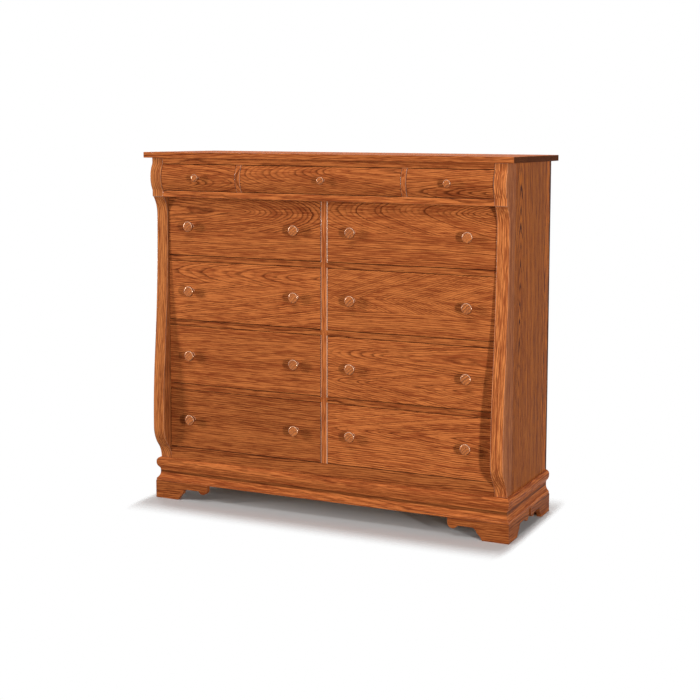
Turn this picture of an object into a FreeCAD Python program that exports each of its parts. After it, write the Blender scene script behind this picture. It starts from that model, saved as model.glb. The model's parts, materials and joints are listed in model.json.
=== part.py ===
import FreeCAD, Part
import Sketcher
import math
import os

# Double chest of drawers with scrolled corner posts: three bow-fronted drawers in the frieze and four rows of two
# below. Millimetres. X runs to the right, Y to the back and Z up. The origin is on the floor, under the middle of
# the whole chest, knobs included.

SIZES = {
    # case
    "caseWidth": 1454,          # over the outer faces of the posts
    "caseDepth": 463,           # from the waist of the posts to the back edge of the sides
    "topThick": 22,
    "topSideOver": 27.4,        # top board past the posts
    "topFrontOver": 47.5,       # top board past the waist of the posts
    "topBackOver": 3,
    "topEase": 1.5,
    "sideThick": 19,
    "backThick": 6,
    "backInset": 6,             # back panel in from the back edge of the sides
    # openings and rails of the front, from the bottom up
    "footHeight": 70,
    "bottomRailHeight": 50.4,
    "rowOpening": 231,          # drawer openings of the three lower rows
    "railThick": 22,
    "firstRowOpening": 227,     # the row under the frieze
    "friezeRailThick": 24.2,
    "friezeOpening": 103,
    "topRailThick": 22.4,
    "railSetback": 6,           # rails and flat drawers behind the waist of the posts
    "railDepth": 50,
    "bottomRailThick": 22,
    "centreStile": 28,
    "friezeStile": 21,
    "wideOpening": 658,         # middle drawer of the frieze
    # corner posts, distances before the waist
    "postWidth": 49,
    "friezeOut": 30,
    "bowOut": 14,               # rise of the bow over the frieze rails
    "lipOut": 25,               # where the hollow starts under the frieze
    "hollowHeight": 68,
    "bellyOut": 41.5,
    "bellyUp": 135,             # belly above the base moulding
    "ankleIn": 10,              # bottom of the post, behind the waist
    # base moulding, from its lower edge up
    "mouldThick": 19,           # behind the face of the case
    "mouldOut": 12.5,
    "quirkOut": 0.5,
    "mouldTopOut": 1.5,
    "lipHeight": 8,
    "coveHeight": 25,
    "quirkHeight": 8,
    "ogeeHeight": 31,
    "bandHeight": 5,
    "beadHeight": 15,
    # bracket feet
    "footOut": 14.3,            # past the face of the case
    "footThick": 20,
    "frontFlat": 102,
    "frontReach": 236.5,
    "sideFlat": 92,
    "lobeGap": 24.3,            # between the lobes of the two feet of a side
    "stepRun": 22,
    "stepRise": 26.5,
    "archRun": 16,
    "archRise": 44,
    "lobeRadius": 20.5,
    "lobeCentre": 52.5,         # height of the middle of the lobe
    "footBlock": 44,
    "rearReach": 130,
    "rearSlope": 50,
    # inside the case
    "runnerWidth": 30,          # what a runner gives the side of a drawer to slide on
    "guideHeight": 20,
    # drawers
    "drawerGap": 1.8,
    "frontThick": 20,
    "drawerEase": 1.5,
    "boxBoard": 13,
    "runClear": 0.3,
    "boxTopClear": 8,
    "boxBackClear": 20,
    "backBoardDrop": 6,
    "bottomThick": 6,
    "bottomUp": 11,
    "grooveDeep": 6,
    "grooveClear": 0.2,
    # knobs
    "knobRadius": 20.5,
    "knobOut": 29,
    "knobInset": 103,           # from the end of an opening to the middle of a knob
    "smallKnobRadius": 14.5,
    "smallKnobOut": 25,
    "wideKnobShift": 20,        # the knob of the wide drawer stands right of the middle
    "tenonRadius": 5,
    "tenonLength": 14,
    "tenonClear": 0.2,
    "cutOver": 5,               # how far a cut runs past what it cuts
}

ROWS = 4
TOUCH = 0.001

# The long swell of a post turns over from hollow to round, and so do the curl under its belly and the ogee of the
# base moulding. Each share is how much of the height lies above or outside that turn.
SWELL_SHARE = 0.64
CURL_SHARE = 0.60
OGEE_SHARE = 0.35

# How far the arcs of a bracket foot swell, as shares of their chords.
STEP_BULGE_SHARE = 0.065
ARCH_BULGE_SHARE = 0.17

# Half outline of a turned knob: shares of its radius and of how far it stands out, and the swell of the arc that
# leads on from there as a share of its chord.
SEAT_SHARES = (0.56, 0.00)
NECK_SHARES = (0.45, 0.34)
RIM_SHARES = (1.00, 0.74)
EDGE_SHARES = (0.80, 0.97)
FLAT_SHARES = (0.45, 1.00)
SEAT_BULGE_SHARE = 0.11
NECK_BULGE_SHARE = 0.15
RIM_BULGE_SHARE = 0.24
EDGE_BULGE_SHARE = 0.02

doc = FreeCAD.newDocument("DoubleChest")
sheet = doc.addObject("Spreadsheet::Sheet", "Sizes")


class Size:
    # A length as a number, together with the expression that binds it to the sheet.
    def __init__(self, number, text):
        self.number = number
        self.text = text

    def __add__(self, other):
        other = as_size(other)
        return Size(self.number + other.number, f"({self.text} + {other.text})")

    def __sub__(self, other):
        other = as_size(other)
        return Size(self.number - other.number, f"({self.text} - {other.text})")

    def __mul__(self, other):
        other = as_size(other)
        return Size(self.number * other.number, f"({self.text} * {other.text})")

    def __truediv__(self, other):
        other = as_size(other)
        return Size(self.number / other.number, f"({self.text} / {other.text})")

    def __neg__(self):
        return Size(-self.number, f"(0 - {self.text})")


def as_size(value):
    if isinstance(value, Size):
        return value
    return Size(float(value), f"{float(value):.6f}")


def root(value):
    return Size(math.sqrt(value.number), f"sqrt({value.text})")


def write_cell(alias, text):
    row = len(sheet_rows) + 1
    sheet_rows.append(alias)
    sheet.set(f"A{row}", alias)
    sheet.set(f"B{row}", text)
    sheet.setAlias(f"B{row}", alias)


def derived(alias, value):
    # A worked-out length kept as a formula in the sheet.
    write_cell(alias, "=" + value.text.replace("Sizes.", ""))
    return Size(value.number, "Sizes." + alias)


sheet_rows = []
for size_name, size_number in SIZES.items():
    write_cell(size_name, str(size_number))
s = {name: Size(float(number), "Sizes." + name) for name, number in SIZES.items()}

# Planes and heights that several pieces share.
half_width = derived("halfWidth", s["caseWidth"] / 2)
opening_edge = derived("openingEdge", half_width - s["postWidth"])
side_inner = derived("sideInner", half_width - s["sideThick"])
stile_edge = derived("stileEdge", s["centreStile"] / 2)
wide_edge = derived("wideEdge", s["wideOpening"] / 2)
narrow_edge = derived("narrowEdge", wide_edge + s["friezeStile"])
mould_lower = s["lipHeight"] + s["coveHeight"] + s["quirkHeight"]
mould_height = derived("mouldHeight", mould_lower + s["ogeeHeight"] + s["bandHeight"] + s["beadHeight"])
case_bottom = derived("caseBottom", s["footHeight"] + mould_height)
bottom_rail_top = derived("bottomRailTop", case_bottom + s["bottomRailHeight"])
row_pitch = derived("rowPitch", s["rowOpening"] + s["railThick"])
frieze_rail_bottom = derived("friezeRailBottom", bottom_rail_top + row_pitch * (ROWS - 1) + s["firstRowOpening"])
frieze_bottom = derived("friezeBottom", frieze_rail_bottom + s["friezeRailThick"])
frieze_top = derived("friezeTop", frieze_bottom + s["friezeOpening"])
case_top = derived("caseTop", frieze_top + s["topRailThick"])
front_reach = s["friezeOut"] + s["bowOut"] + s["smallKnobOut"]
waist = derived("waistPlane", (front_reach - s["caseDepth"] - s["topBackOver"]) / 2)
rail_plane = derived("railPlane", waist + s["railSetback"])
rail_back = derived("railBack", rail_plane + s["railDepth"])
frieze_plane = derived("friezePlane", waist - s["friezeOut"])
bow_plane = derived("bowPlane", frieze_plane - s["bowOut"])
back_edge = derived("backEdge", waist + s["caseDepth"])
back_front = derived("backFront", back_edge - s["backInset"] - s["backThick"])
box_back = derived("boxBack", back_front - s["boxBackClear"])
side_reach = derived("sideReach", (back_edge - rail_plane + s["footOut"] - s["lobeGap"]) / 2)
bow_chord = s["friezeOpening"] / 2
bow_radius = derived("bowRadius", (bow_chord * bow_chord + s["bowOut"] * s["bowOut"]) / (s["bowOut"] * 2))
doc.recompute()

ZERO = as_size(0)
nodes = {}


def node(name, item):
    item.Label = name
    nodes[name] = item
    return item


def group(name, items):
    item = doc.addObject("Part::Compound", name + "_group")
    item.Links = items
    return node(name, item)


def bind(item, name, value):
    item.setExpression(name, as_size(value).text)


def box(name, low, high):
    # A board between two opposite corners.
    item = doc.addObject("Part::Box", name)
    for axis, side, start, stop in zip("xyz", ("Length", "Width", "Height"), low, high):
        bind(item, side, as_size(stop) - start)
        bind(item, "Placement.Base." + axis, start)
    return item


def new_body(name, x, y, z):
    body = doc.addObject("PartDesign::Body", name)
    for axis, value in zip("xyz", (x, y, z)):
        bind(body, "Placement.Base." + axis, value)
    return body


def new_sketch(body, name, role):
    sketch = body.newObject("Sketcher::SketchObject", name)
    plane = [feature for feature in body.Origin.OriginFeatures if feature.Role == role][0]
    sketch.AttachmentSupport = [(plane, "")]
    sketch.MapMode = "FlatFace"
    return sketch


def constrain(sketch, kind, places, value):
    index = sketch.addConstraint(Sketcher.Constraint(kind, *places, value.number))
    sketch.setExpression(f"Constraints[{index}]", value.text)


def pin(sketch, number, point, x, y):
    constrain(sketch, "DistanceX", (-1, 1, number, point), as_size(x))
    constrain(sketch, "DistanceY", (-1, 1, number, point), as_size(y))


def outline(sketch, corners):
    # A closed outline. A corner is (x, y), or (x, y, radius, turn) where an arc leads on to the next corner. The arc
    # swells to the left of the way round where turn is 1, and to the right where it is -1.
    points = [FreeCAD.Vector(as_size(corner[0]).number, as_size(corner[1]).number, 0) for corner in corners]
    ends = []
    for index, corner in enumerate(corners):
        start = points[index]
        stop = points[(index + 1) % len(points)]
        if len(corner) == 2:
            edge = Part.LineSegment(start, stop)
        else:
            chord = stop - start
            radius = corner[2].number
            rise = radius - math.sqrt(radius ** 2 - chord.Length ** 2 / 4)
            left = FreeCAD.Vector(-chord.y, chord.x, 0).normalize()
            edge = Part.Arc(start, (start + stop) / 2 + left * rise * corner[3], stop)
        number = sketch.addGeometry(edge)
        runs_on = sketch.getPoint(number, 1).distanceToPoint(start) < sketch.getPoint(number, 2).distanceToPoint(start)
        ends.append((1, 2) if runs_on else (2, 1))
    for number, corner in enumerate(corners):
        follows = (number + 1) % len(corners)
        sketch.addConstraint(Sketcher.Constraint("Coincident", number, ends[number][1], follows, ends[follows][0]))
        pin(sketch, number, ends[number][0], corner[0], corner[1])
        if len(corner) > 2:
            constrain(sketch, "Radius", (number,), corner[2])


def circles(sketch, centres, radius):
    for x, y in centres:
        middle = FreeCAD.Vector(as_size(x).number, as_size(y).number, 0)
        number = sketch.addGeometry(Part.Circle(middle, FreeCAD.Vector(0, 0, 1), radius.number))
        pin(sketch, number, 3, x, y)
        constrain(sketch, "Radius", (number,), radius)


def pad(body, role, corners, length, side="One side", reverse=False):
    sketch = new_sketch(body, body.Name + "_outline", role)
    outline(sketch, corners)
    item = body.newObject("PartDesign::Pad", body.Name + "_pad")
    item.Profile = sketch
    item.SideType = side
    item.Reversed = reverse
    bind(item, "Length", length)
    doc.recompute()
    return item


def pocket(body, name, sketch, depth, side="One side", reverse=False):
    # Cuts the sketch to a depth, or right through where the depth is None.
    before = body.Shape.Volume
    item = body.newObject("PartDesign::Pocket", f"{body.Name}_{name}")
    item.Profile = sketch
    item.SideType = side
    item.Reversed = reverse
    if depth is None:
        item.Type = "ThroughAll"
    else:
        bind(item, "Length", depth)
    doc.recompute()
    if not item.Shape.Volume < before:
        raise ValueError(item.Name + " cuts nothing")
    return item


def ease(body, base, radius, wanted):
    # Rounds the edges of the base whose two ends the test accepts.
    names = []
    for index, edge in enumerate(base.Shape.Edges, start=1):
        ends = [vertex.Point for vertex in edge.Vertexes]
        if len(ends) == 2 and wanted(ends[0]) and wanted(ends[1]):
            names.append(f"Edge{index}")
    item = body.newObject("PartDesign::Fillet", body.Name + "_ease")
    item.Base = (base, names)
    bind(item, "Radius", radius)
    doc.recompute()
    return item


def lies_at(axis, value):
    return lambda point: abs(getattr(point, axis) - value.number) < TOUCH


def bulge_radius(run, rise, share):
    # Radius of an arc that swells by a share of its chord, which spans run and rise.
    chord = root(run * run + rise * rise)
    return chord * (0.25 + share ** 2) / (share * 2)


def s_radius(run, rise, share):
    # Radius of one of two tangent arcs that step sideways by run over a rise, upright at both ends.
    return (run * run + rise * rise) * share / (run * 2)


# Case boards

def top_board():
    depth = s["topFrontOver"] + s["caseDepth"] + s["topBackOver"]
    reach = half_width + s["topSideOver"]
    body = new_body("top", 0, waist - s["topFrontOver"], case_top)
    slab = pad(body, "XY_Plane", [(-reach, 0), (reach, 0), (reach, depth), (-reach, depth)], s["topThick"])
    ease(body, slab, s["topEase"], lies_at("z", s["topThick"]))
    return node("top_board", body)


def side_panel(name, side):
    low, high = (side_inner, half_width) if side > 0 else (-half_width, -side_inner)
    return node(name, box(name + "_box", (low, rail_back, case_bottom), (high, back_edge, case_top)))


def back_panel():
    low = (-side_inner, back_front, s["footHeight"])
    high = (side_inner, back_front + s["backThick"], case_top)
    return node("back_panel", box("back", low, high))


def post(name, side):
    # Side view of a scrolled post, bow and hollow at the top, long swell, belly, and curl down to the moulding.
    back = s["railSetback"] + s["railDepth"]
    base = case_bottom
    belly = base + s["bellyUp"]
    hollow_foot = frieze_rail_bottom - s["hollowHeight"]
    curl_run = s["bellyOut"] + s["ankleIn"]
    swell_rise = hollow_foot - belly
    curl_turn = (s["bellyOut"] - curl_run * CURL_SHARE, belly - s["bellyUp"] * CURL_SHARE)
    swell_turn = (s["bellyOut"] * SWELL_SHARE, hollow_foot - swell_rise * SWELL_SHARE)
    hollow_radius = s_radius(s["lipOut"], s["hollowHeight"], 1)
    corners = [
        (back, base),
        (s["ankleIn"], base, s_radius(curl_run, s["bellyUp"], 1 - CURL_SHARE), -1),
        (-curl_turn[0], curl_turn[1], s_radius(curl_run, s["bellyUp"], CURL_SHARE), 1),
        (-s["bellyOut"], belly, s_radius(s["bellyOut"], swell_rise, 1 - SWELL_SHARE), 1),
        (-swell_turn[0], swell_turn[1], s_radius(s["bellyOut"], swell_rise, SWELL_SHARE), -1),
        (0, hollow_foot, hollow_radius, -1),
        (-s["lipOut"], frieze_rail_bottom),
        (-s["friezeOut"], frieze_rail_bottom),
        (-s["friezeOut"], frieze_bottom, bow_radius, 1),
        (-s["friezeOut"], frieze_top),
        (-s["friezeOut"], case_top),
        (back, case_top),
    ]
    body = new_body(name + "_body", opening_edge if side > 0 else -half_width, waist, 0)
    pad(body, "YZ_Plane", corners, s["postWidth"])
    return node(name, body)


# Front frame

def straight_rail(name, low_x, high_x, front, depth, low_z, thick):
    return box(name, (low_x, front, low_z), (high_x, front + depth, low_z + thick))


def front_rails():
    frieze_depth = rail_back - frieze_plane
    reach = opening_edge
    node("top_rail", straight_rail("top_rail_box", -reach, reach, frieze_plane, frieze_depth, frieze_top,
                                   s["topRailThick"]))
    node("frieze_rail", straight_rail("frieze_rail_box", -reach, reach, frieze_plane, frieze_depth,
                                      frieze_rail_bottom, s["friezeRailThick"]))
    node("bottom_rail", straight_rail("bottom_rail_box", -reach, reach, rail_plane, s["bottomRailThick"],
                                      case_bottom, s["bottomRailHeight"]))
    rails = []
    for row in range(1, ROWS):
        low_z = row_floor(row) - s["railThick"]
        for side, low_x, high_x in (("left", -reach, -stile_edge), ("right", stile_edge, reach)):
            rails.append(straight_rail(f"rail_{row}_{side}", low_x, high_x, rail_plane, s["railDepth"], low_z,
                                       s["railThick"]))
    group("drawer_rails", rails)


def row_floor(row):
    # Height of the rail that carries a row of drawers, row 1 being the one under the frieze.
    return bottom_rail_top + row_pitch * (ROWS - row)


def row_ceiling(row):
    return frieze_rail_bottom if row == 1 else row_floor(row) + s["rowOpening"]


def centre_stile():
    low = (-stile_edge, rail_plane, bottom_rail_top)
    return node("centre_stile", box("stile", low, (stile_edge, rail_back, frieze_rail_bottom)))


def frieze_stiles():
    depth = rail_back - frieze_plane
    corners = [(depth, 0), (0, 0, bow_radius, 1), (0, s["friezeOpening"]), (depth, s["friezeOpening"])]
    stiles = []
    for side, low_x in (("left", -narrow_edge), ("right", wide_edge)):
        body = new_body(f"frieze_stile_{side}", low_x, frieze_plane, frieze_bottom)
        pad(body, "YZ_Plane", corners, s["friezeStile"])
        stiles.append(body)
    return group("frieze_stiles", stiles)


# Inside the case

def partitions():
    boards = [box("centre_board", (-stile_edge, rail_back, case_bottom), (stile_edge, back_front, frieze_rail_bottom))]
    for side, low_x, high_x in (("left", -narrow_edge, -wide_edge), ("right", wide_edge, narrow_edge)):
        boards.append(box(f"frieze_board_{side}", (low_x, rail_back, frieze_rail_bottom),
                          (high_x, back_front, case_top)))
    return group("partitions", boards)


def runner_pair(name, inner, outer, low_z, thick):
    # The same strip on both sides of the chest, from one distance off the middle plane to another.
    return [box(f"{name}_{side}", (low_x, rail_back, low_z), (high_x, back_front, low_z + thick))
            for side, low_x, high_x in (("right", inner, outer), ("left", -outer, -inner))]


def drawer_runners():
    # Runners lie level with the rails, and the outer ones carry guides in line with the openings' edges.
    strips = []
    wide = s["runnerWidth"]
    for row in range(1, ROWS + 1):
        top = row_floor(row)
        low_z = top - s["railThick"]
        strips += runner_pair(f"runner_{row}_outer", opening_edge - wide, side_inner, low_z, s["railThick"])
        strips += runner_pair(f"runner_{row}_inner", stile_edge, stile_edge + wide, low_z, s["railThick"])
        strips += runner_pair(f"guide_{row}", opening_edge, side_inner, top, s["guideHeight"])
    thick = s["friezeRailThick"]
    strips += runner_pair("frieze_runner_outer", opening_edge - wide, side_inner, frieze_rail_bottom, thick)
    strips += runner_pair("frieze_runner_middle", narrow_edge, narrow_edge + wide, frieze_rail_bottom, thick)
    strips += runner_pair("frieze_runner_inner", wide_edge - wide, wide_edge, frieze_rail_bottom, thick)
    strips += runner_pair("frieze_guide", opening_edge, side_inner, frieze_bottom, s["guideHeight"])
    return group("drawer_runners", strips)


# Base

def mitre(body, x, side, thick, front):
    # Cuts the end of a board at 45 degrees. The line runs from the outer corner at x towards the inner corner.
    over = s["cutOver"]
    outer = (x + over * side, -over)
    inner = (x - (thick + over) * side, thick + over)
    third = (outer[0], inner[1]) if front else (inner[0], outer[1])
    sketch = new_sketch(body, f"{body.Name}_mitre_{'right' if side > 0 else 'left'}", "XY_Plane")
    outline(sketch, [outer, inner, third])
    pocket(body, sketch.Name + "_cut", sketch, None, reverse=True)


def moulding_corners(inward):
    # Section of the base moulding. The first value runs into the case from its foremost face, or the other way round
    # where inward is -1.
    out = s["mouldOut"]
    run = out - s["quirkOut"]
    cove_low = s["lipHeight"]
    cove_high = cove_low + s["coveHeight"]
    ogee_low = cove_high + s["quirkHeight"]
    ogee_high = ogee_low + s["ogeeHeight"]
    band_high = ogee_high + s["bandHeight"]
    bead_run = out - s["mouldTopOut"]
    back = out + s["mouldThick"]
    corners = [
        (back, ZERO),
        (ZERO, ZERO),
        (ZERO, cove_low, s_radius(run, s["coveHeight"], 1), -1),
        (run, cove_high),
        (run, ogee_low, s_radius(run, s["ogeeHeight"], OGEE_SHARE), -1),
        (run * (1 - OGEE_SHARE), ogee_low + s["ogeeHeight"] * OGEE_SHARE,
         s_radius(run, s["ogeeHeight"], 1 - OGEE_SHARE), 1),
        (ZERO, ogee_high),
        (ZERO, band_high, s_radius(bead_run, s["beadHeight"], 1), 1),
        (bead_run, mould_height),
        (back, mould_height),
    ]
    return mirrored(corners, inward)


def mirrored(corners, sign):
    # The same corners with their first value, and the turn of their arcs, times a sign.
    return [(corner[0] * sign, corner[1]) if len(corner) == 2 else
            (corner[0] * sign, corner[1], corner[2], corner[3] * sign) for corner in corners]


def base_moulding():
    out = s["mouldOut"]
    thick = out + s["mouldThick"]
    front = new_body("moulding_front", 0, rail_plane - out, s["footHeight"])
    pad(front, "YZ_Plane", moulding_corners(1), (half_width + out) * 2, side="Symmetric")
    pieces = [front]
    for name, side in (("right", 1), ("left", -1)):
        mitre(front, (half_width + out) * side, side, thick, True)
        board = new_body(f"moulding_{name}", (half_width + out) * side, rail_plane - out, s["footHeight"])
        pad(board, "XZ_Plane", moulding_corners(-side), back_edge - rail_plane + out, reverse=True)
        mitre(board, ZERO, side, thick, False)
        pieces.append(board)
    return group("base_moulding", pieces)


def bracket_corners(flat, reach, sign):
    # Face of a bracket foot board, from its outer corner along the floor: a flat to stand on, a cusped arch and a
    # round lobe at the end.
    step_end = flat + s["stepRun"]
    arch_end = step_end + s["archRun"]
    lobe = reach - s["lobeRadius"]
    drop = s["lobeCentre"] - s["archRise"]
    lobe_start = lobe - root(s["lobeRadius"] * s["lobeRadius"] - drop * drop)
    corners = [
        (ZERO, ZERO),
        (flat, ZERO, bulge_radius(s["stepRun"], s["stepRise"], STEP_BULGE_SHARE), 1),
        (step_end, s["stepRise"], bulge_radius(s["archRun"], s["archRise"] - s["stepRise"], ARCH_BULGE_SHARE), 1),
        (arch_end, s["archRise"]),
        (lobe_start, s["archRise"], s["lobeRadius"], -1),
        (reach, s["lobeCentre"]),
        (reach, s["footHeight"]),
        (ZERO, s["footHeight"]),
    ]
    return mirrored(corners, sign)


def glue_block(name, x, y, side, depth_sign):
    # Square block in the inner corner of a foot, where its two boards meet.
    low_x, high_x = (x - s["footBlock"], x) if side > 0 else (x, x + s["footBlock"])
    low_y, high_y = (y, y + s["footBlock"]) if depth_sign > 0 else (y - s["footBlock"], y)
    return box(name + "_block", (low_x, low_y, ZERO), (high_x, high_y, s["footHeight"]))


def front_foot(name, side):
    x = (half_width + s["footOut"]) * side
    y = rail_plane - s["footOut"]
    thick = s["footThick"]
    face = new_body(name + "_face", x, y, 0)
    pad(face, "XZ_Plane", bracket_corners(s["frontFlat"], s["frontReach"], -side), thick, reverse=True)
    mitre(face, ZERO, side, thick, True)
    flank = new_body(name + "_flank", x, y, 0)
    pad(flank, "YZ_Plane", bracket_corners(s["sideFlat"], side_reach, 1), thick, reverse=side > 0)
    mitre(flank, ZERO, side, thick, False)
    return group(name, [face, flank, glue_block(name, x - thick * side, y + thick, side, 1)])


def rear_foot(name, side):
    x = (half_width + s["footOut"]) * side
    thick = s["footThick"]
    inner = x - thick * side
    flank = new_body(name + "_flank", x, back_edge, 0)
    pad(flank, "YZ_Plane", bracket_corners(s["sideFlat"], side_reach, -1), thick, reverse=side > 0)
    brace = new_body(name + "_brace", inner, back_edge - thick, 0)
    corners = [(ZERO, ZERO), (s["rearReach"] - s["rearSlope"], ZERO), (s["rearReach"], s["footHeight"]),
               (ZERO, s["footHeight"])]
    pad(brace, "XZ_Plane", mirrored(corners, -side), thick, reverse=True)
    return group(name, [flank, brace, glue_block(name, inner, back_edge - thick, side, -1)])


# Drawers

def knob(name, x, y, z, radius, out):
    # A turned mushroom knob on a round tenon, with its seat at y.
    seat = (radius * SEAT_SHARES[0], out * -SEAT_SHARES[1])
    neck = (radius * NECK_SHARES[0], out * -NECK_SHARES[1])
    rim = (radius * RIM_SHARES[0], out * -RIM_SHARES[1])
    edge = (radius * EDGE_SHARES[0], out * -EDGE_SHARES[1])
    flat = (radius * FLAT_SHARES[0], out * -FLAT_SHARES[1])
    length = s["tenonLength"]
    corners = [
        (ZERO, length),
        (s["tenonRadius"], length),
        (s["tenonRadius"], ZERO),
        (*seat, bulge_radius(seat[0] - neck[0], seat[1] - neck[1], SEAT_BULGE_SHARE), -1),
        (*neck, bulge_radius(rim[0] - neck[0], rim[1] - neck[1], NECK_BULGE_SHARE), -1),
        (*rim, bulge_radius(rim[0] - edge[0], rim[1] - edge[1], RIM_BULGE_SHARE), 1),
        (*edge, bulge_radius(edge[0] - flat[0], edge[1] - flat[1], EDGE_BULGE_SHARE), 1),
        flat,
        (ZERO, -out),
    ]
    body = new_body(name, x, y, z)
    sketch = new_sketch(body, name + "_outline", "XY_Plane")
    outline(sketch, corners)
    turned = body.newObject("PartDesign::Revolution", name + "_turned")
    turned.Profile = sketch
    turned.ReferenceAxis = (sketch, ["V_Axis"])
    doc.recompute()
    return body


def knob_holes(body, centres):
    sketch = new_sketch(body, body.Name + "_hole_circles", "XZ_Plane")
    circles(sketch, centres, s["tenonRadius"] + s["tenonClear"])
    pocket(body, "holes", sketch, s["tenonLength"] + s["tenonClear"])


def front_groove(body, half_length, low_z, back):
    # Groove across the back of a drawer front that takes the edge of the bottom.
    high_z = low_z + s["bottomThick"] + s["grooveClear"]
    sketch = new_sketch(body, body.Name + "_groove_outline", "YZ_Plane")
    outline(sketch, [(back - s["grooveDeep"], low_z), (back + s["cutOver"], low_z), (back + s["cutOver"], high_z),
                     (back - s["grooveDeep"], high_z)])
    reach = half_length - s["boxBoard"] + s["grooveDeep"]
    pocket(body, "groove", sketch, reach * 2, side="Symmetric")


def flat_front(name, low_x, high_x, low_z, high_z):
    half_length = (high_x - low_x) / 2 - s["drawerGap"]
    half_height = (high_z - low_z) / 2 - s["drawerGap"]
    body = new_body(name + "_body", (low_x + high_x) / 2, rail_plane, (low_z + high_z) / 2)
    board = pad(body, "XZ_Plane", [(-half_length, -half_height), (half_length, -half_height),
                                   (half_length, half_height), (-half_length, half_height)],
                s["frontThick"], reverse=True)
    ease(body, board, s["drawerEase"], lies_at("y", ZERO))
    knob_x = (high_x - low_x) / 2 - s["knobInset"]
    knob_holes(body, [(-knob_x, ZERO), (knob_x, ZERO)])
    groove_z = (low_z - high_z) / 2 + s["runClear"] + s["bottomUp"]
    front_groove(body, half_length, groove_z, s["frontThick"])
    return node(name, body)


def bowed_front(name, low_x, high_x, knob_shift):
    half_length = (high_x - low_x) / 2 - s["drawerGap"]
    half_height = s["friezeOpening"] / 2 - s["drawerGap"]
    edge = bow_radius - root(bow_radius * bow_radius - half_height * half_height)
    back = s["bowOut"] + s["frontThick"]
    body = new_body(name + "_body", (low_x + high_x) / 2, bow_plane, (frieze_bottom + frieze_top) / 2)
    corners = [(back, -half_height), (edge, -half_height, bow_radius, 1), (edge, half_height), (back, half_height)]
    board = pad(body, "YZ_Plane", corners, half_length * 2, side="Symmetric")
    ease(body, board, s["drawerEase"], lies_at("y", edge))
    knob_holes(body, [(knob_shift, ZERO)])
    groove_z = -s["friezeOpening"] / 2 + s["runClear"] + s["bottomUp"]
    front_groove(body, half_length, groove_z, back)
    return node(name, body)


def box_boards(name, low_x, high_x, low_z, high_z, front_back):
    # The two sides, grooved for the bottom, and the back of a drawer box.
    left = low_x + s["drawerGap"]
    right = high_x - s["drawerGap"]
    board = s["boxBoard"]
    groove = s["grooveDeep"]
    floor = low_z + s["runClear"]
    groove_low = floor + s["bottomUp"]
    groove_high = groove_low + s["bottomThick"] + s["grooveClear"]
    top = high_z - s["boxTopClear"]
    boards = []
    for side, outer_x, inner_x, cut_low, cut_high in (
            ("left", left, left + board, left + board - groove, left + board + s["cutOver"]),
            ("right", right - board, right, right - board - s["cutOver"], right - board + groove)):
        plain = box(f"{name}_{side}_board", (outer_x, front_back, floor), (inner_x, box_back, top))
        cut = box(f"{name}_{side}_groove", (cut_low, front_back - s["cutOver"], groove_low),
                  (cut_high, box_back + s["cutOver"], groove_high))
        grooved = doc.addObject("Part::Cut", f"{name}_{side}")
        grooved.Base = plain
        grooved.Tool = cut
        boards.append(grooved)
    boards.append(box(name + "_back", (left + board, box_back - board, groove_low + s["bottomThick"]),
                      (right - board, box_back, top - s["backBoardDrop"])))
    return boards


def bottom_board(name, low_x, high_x, low_z, front_back):
    inset = s["drawerGap"] + s["boxBoard"] - s["grooveDeep"] + s["grooveClear"]
    floor = low_z + s["runClear"] + s["bottomUp"]
    return box(name, (low_x + inset, front_back - s["grooveDeep"] + s["grooveClear"], floor),
               (high_x - inset, box_back, floor + s["bottomThick"]))


def flat_drawer(row, column, low_x, high_x):
    name = f"drawer_{row}_{column}"
    low_z = row_floor(row)
    high_z = row_ceiling(row)
    front_back = rail_plane + s["frontThick"]
    flat_front(name + "_front", low_x, high_x, low_z, high_z)
    group(name + "_box", box_boards(name, low_x, high_x, low_z, high_z, front_back))
    node(name + "_bottom", bottom_board(name + "_panel", low_x, high_x, low_z, front_back))
    height = (low_z + high_z) / 2
    group(name + "_knobs", [knob(f"{name}_knob_{side}", x, rail_plane, height, s["knobRadius"], s["knobOut"])
                            for side, x in (("left", low_x + s["knobInset"]), ("right", high_x - s["knobInset"]))])


def frieze_drawer(column, low_x, high_x, knob_shift):
    name = f"frieze_drawer_{column}"
    front_back = frieze_plane + s["frontThick"]
    bowed_front(name + "_front", low_x, high_x, knob_shift)
    boards = box_boards(name, low_x, high_x, frieze_bottom, frieze_top, front_back)
    boards.append(bottom_board(name + "_panel", low_x, high_x, frieze_bottom, front_back))
    group(name + "_box", boards)
    node(name + "_knob", knob(name + "_knob_body", (low_x + high_x) / 2 + knob_shift, bow_plane,
                              (frieze_bottom + frieze_top) / 2, s["smallKnobRadius"], s["smallKnobOut"]))


def build():
    top_board()
    back_panel()
    for name, side in (("left", -1), ("right", 1)):
        side_panel("side_panel_" + name, side)
        post("post_" + name, side)
        front_foot("foot_front_" + name, side)
        rear_foot("foot_rear_" + name, side)
    front_rails()
    centre_stile()
    frieze_stiles()
    partitions()
    drawer_runners()
    base_moulding()
    frieze_drawer("left", -opening_edge, -narrow_edge, ZERO)
    frieze_drawer("middle", -wide_edge, wide_edge, s["wideKnobShift"])
    frieze_drawer("right", narrow_edge, opening_edge, ZERO)
    for row in range(1, ROWS + 1):
        flat_drawer(row, "left", -opening_edge, -stile_edge)
        flat_drawer(row, "right", stile_edge, opening_edge)
    doc.recompute()


def check():
    for item in doc.Objects:
        if "Invalid" in item.State or "Error" in item.State:
            raise ValueError(f"{item.Name} failed: {item.State}")
    for name, item in nodes.items():
        if item.Shape.isNull() or not item.Shape.isValid():
            raise ValueError(name + " has no valid shape")


build()
check()
os.makedirs("parts", exist_ok=True)
for node_name, node_item in nodes.items():
    node_item.Shape.exportStep(os.path.join("parts", node_name + ".step"))
print(len(nodes), "nodes")
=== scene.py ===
import json
import math
import bpy
from mathutils import Matrix, Vector

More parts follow.
